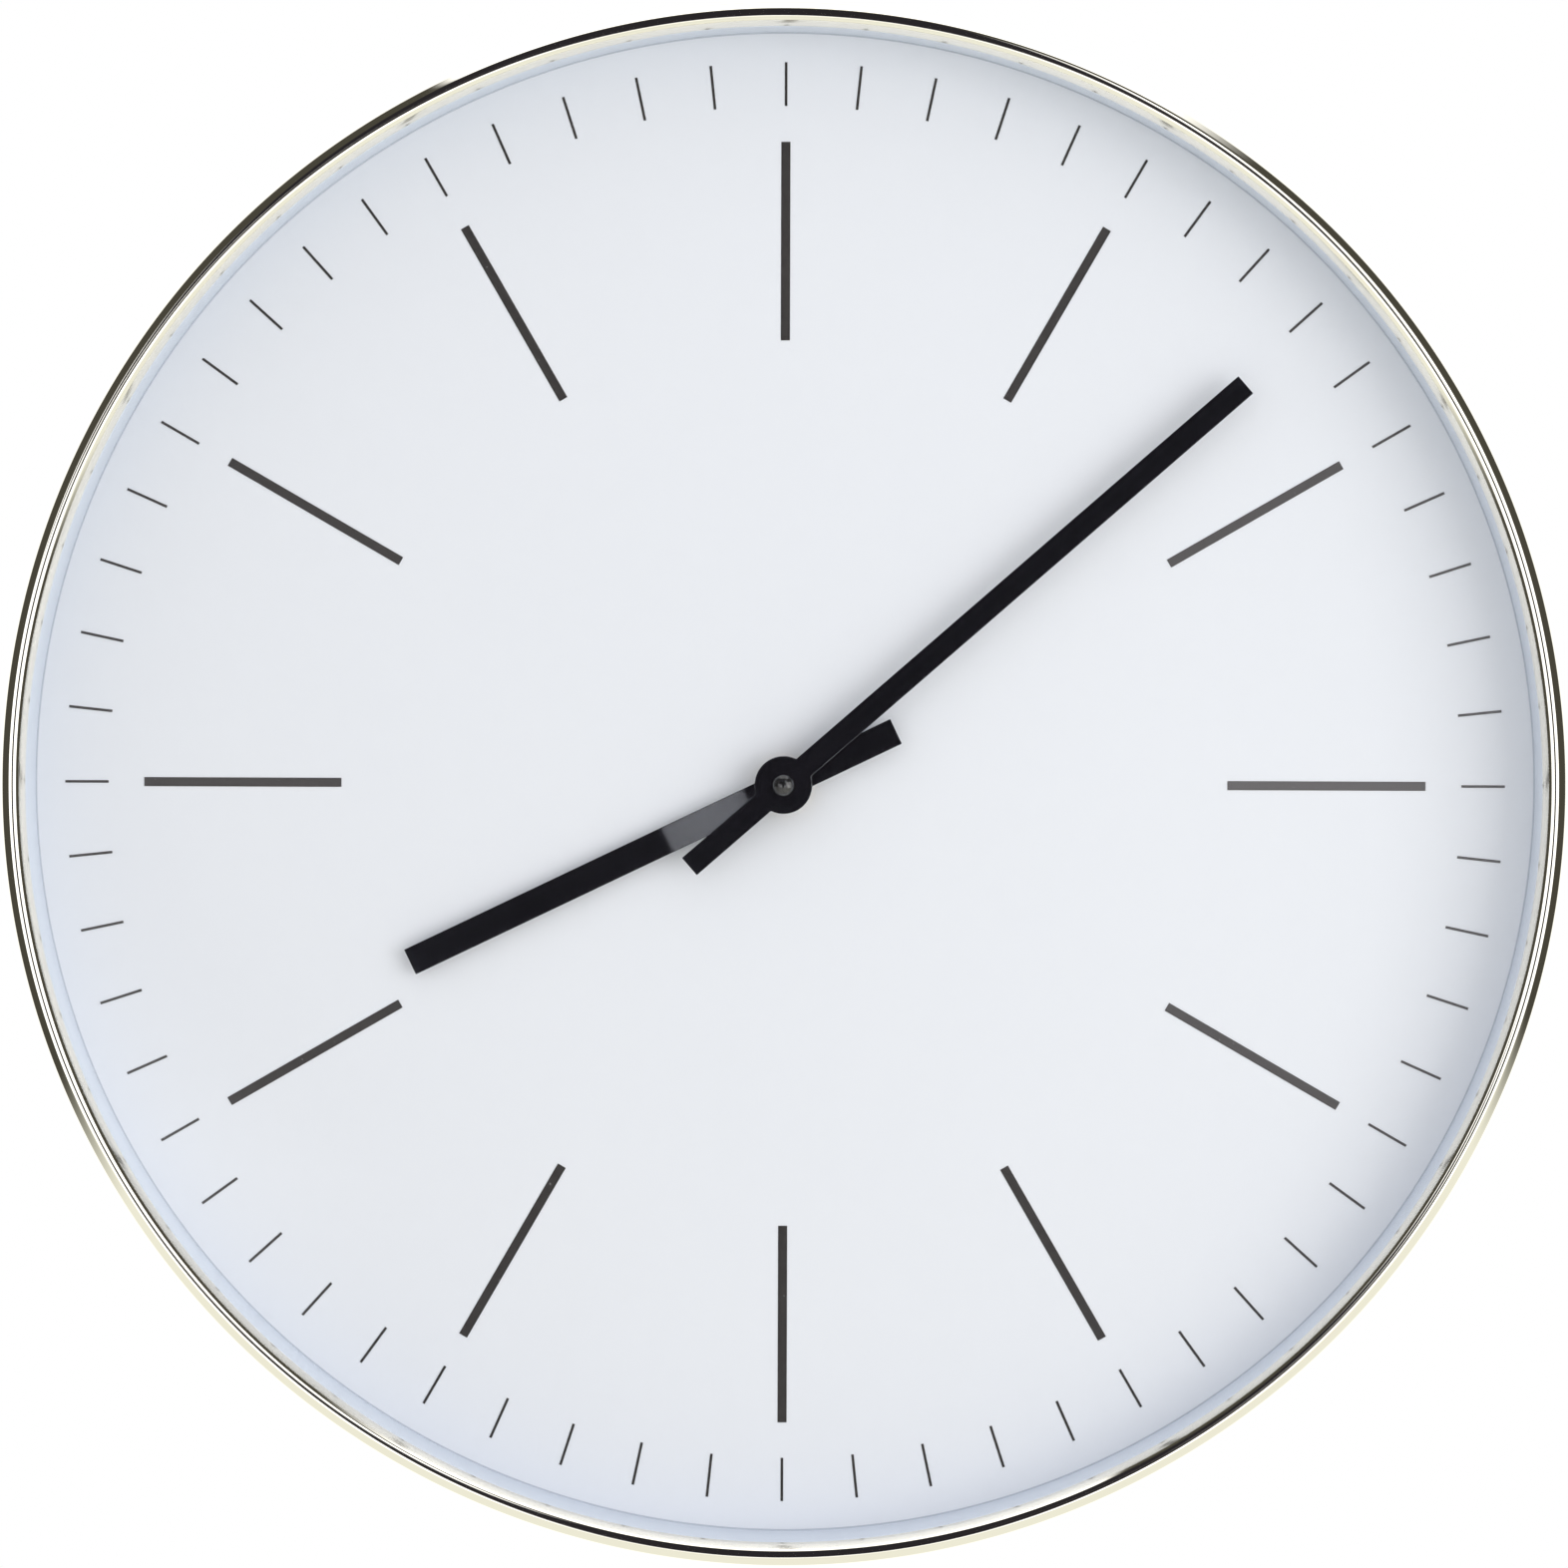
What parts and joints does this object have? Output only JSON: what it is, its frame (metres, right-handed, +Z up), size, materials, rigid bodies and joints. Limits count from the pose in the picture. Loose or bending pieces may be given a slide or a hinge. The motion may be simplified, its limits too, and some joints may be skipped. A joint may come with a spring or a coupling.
{
  "type": "wall clock",
  "caption": "Round analogue wall clock: polished metal rim, flat glass, white baton dial, black hands and a battery quartz movement behind.",
  "frame": {"origin": "centre of the hanging hole in the back, in the plane of the wall; the hands' axis is 110 mm below it", "axes": "front faces -Y, the wall is toward +Y, +X to the viewer's right, +Z up"},
  "size_m": [0.3, 0.042, 0.3],
  "materials": {
    "rim_metal": "polished, pale champagne",
    "screw_steel": "zinc plated",
    "glass": "clear",
    "white_plastic": "cool white, satin",
    "ink": "printed dark grey",
    "dial_card": "cool white, faintly grained",
    "fibreboard": "pressed hardboard",
    "case_plastic": "moulded white",
    "zinc_steel": "zinc plated",
    "movement_plastic": "moulded black",
    "gear_plastic": "natural acetal",
    "washer_rubber": "matt",
    "brass": "turned",
    "hand_black": "gloss black lacquer",
    "cap_black": "gloss black",
    "knob_plastic": "moulded white",
    "magnet_ferrite": "bonded ferrite",
    "soft_iron": "stamped",
    "bobbin_plastic": "moulded green",
    "copper_wire": "enamelled copper",
    "board_green": "solder mask",
    "crystal_can": "drawn can",
    "chip_resin": "black resin",
    "contact_steel": "nickel plated",
    "cell_steel": "nickel plated",
    "cell_sleeve": "printed sleeve, no lettering"
  },
  "bodies": {
    "case": {"case_rim": "rim_metal", "rim_screws": "screw_steel", "glass_lens": "glass", "spacer_ring": "white_plastic", "hour_marks": "ink", "minute_marks": "ink", "dial_face": "dial_card", "dial_board": "fibreboard", "rear_case": "case_plastic", "hanger_plate": "zinc_steel", "hanger_rivets": "screw_steel", "movement_case": "movement_plastic", "movement_cover": "movement_plastic", "cover_screws": "screw_steel", "middle_plate": "gear_plastic", "plate_screws": "screw_steel", "rubber_washer": "washer_rubber", "brass_washer": "brass", "hex_nut": "brass", "stator": "soft_iron", "coil_bobbin": "bobbin_plastic", "coil_winding": "copper_wire", "circuit_board": "board_green", "quartz_crystal": "crystal_can", "driver_chip": "chip_resin", "contact_positive": "contact_steel", "contact_negative": "contact_steel"},
    "minute_set": {"minute_arbor": "gear_plastic", "centre_wheel": "gear_plastic", "minute_hand": "hand_black", "hand_cap": "cap_black"},
    "hour_set": {"hour_wheel": "gear_plastic", "hour_hand": "hand_black"},
    "day_set": {"day_wheel": "gear_plastic"},
    "setting_set": {"setting_pinion": "gear_plastic", "setting_knob": "knob_plastic"},
    "third_set": {"third_wheel": "gear_plastic"},
    "second_set": {"second_wheel": "gear_plastic"},
    "intermediate_set": {"intermediate_wheel": "gear_plastic"},
    "rotor_set": {"rotor_pinion": "gear_plastic", "rotor_magnet": "magnet_ferrite"},
    "battery": {"battery_cell": "cell_steel", "battery_sleeve": "cell_sleeve"}
  },
  "joints": [
    {"name": "minute_hand_spin", "type": "hinge", "parent": "case", "child": "minute_set", "pos_m": [0, 0, -0.11], "axis": [0, 1, 0], "continuous": true},
    {"name": "hour_hand_spin", "type": "hinge", "parent": "case", "child": "hour_set", "pos_m": [0, 0, -0.11], "axis": [0, 1, 0], "continuous": true},
    {"name": "day_wheel_spin", "type": "hinge", "parent": "case", "child": "day_set", "pos_m": [0.0084, 0, -0.11], "axis": [0, 1, 0], "continuous": true},
    {"name": "setting_knob_spin", "type": "hinge", "parent": "case", "child": "setting_set", "pos_m": [0.01629, 0, -0.11287], "axis": [0, 1, 0], "continuous": true},
    {"name": "third_wheel_spin", "type": "hinge", "parent": "case", "child": "third_set", "pos_m": [-0.00935, 0, -0.1046], "axis": [0, 1, 0], "continuous": true},
    {"name": "second_wheel_spin", "type": "hinge", "parent": "case", "child": "second_set", "pos_m": [0, 0, -0.11], "axis": [0, 1, 0], "continuous": true},
    {"name": "intermediate_wheel_spin", "type": "hinge", "parent": "case", "child": "intermediate_set", "pos_m": [0.0054, 0, -0.10065], "axis": [0, 1, 0], "continuous": true},
    {"name": "rotor_spin", "type": "hinge", "parent": "case", "child": "rotor_set", "pos_m": [0.01267, 0, -0.09645], "axis": [0, 1, 0], "continuous": true},
    {"name": "battery_pull", "type": "slide", "parent": "case", "child": "battery", "axis": [0, 1, 0], "range_m": [0, 0.024]}
  ],
  "couplings": [
    {"joint": "hour_hand_spin", "follows": "minute_hand_spin", "ratio": 0.083333},
    {"joint": "day_wheel_spin", "follows": "minute_hand_spin", "ratio": -0.33333},
    {"joint": "setting_knob_spin", "follows": "minute_hand_spin", "ratio": 1},
    {"joint": "third_wheel_spin", "follows": "minute_hand_spin", "ratio": -7.5},
    {"joint": "second_wheel_spin", "follows": "minute_hand_spin", "ratio": 60},
    {"joint": "intermediate_wheel_spin", "follows": "minute_hand_spin", "ratio": -300},
    {"joint": "rotor_spin", "follows": "minute_hand_spin", "ratio": 1800}
  ]
}
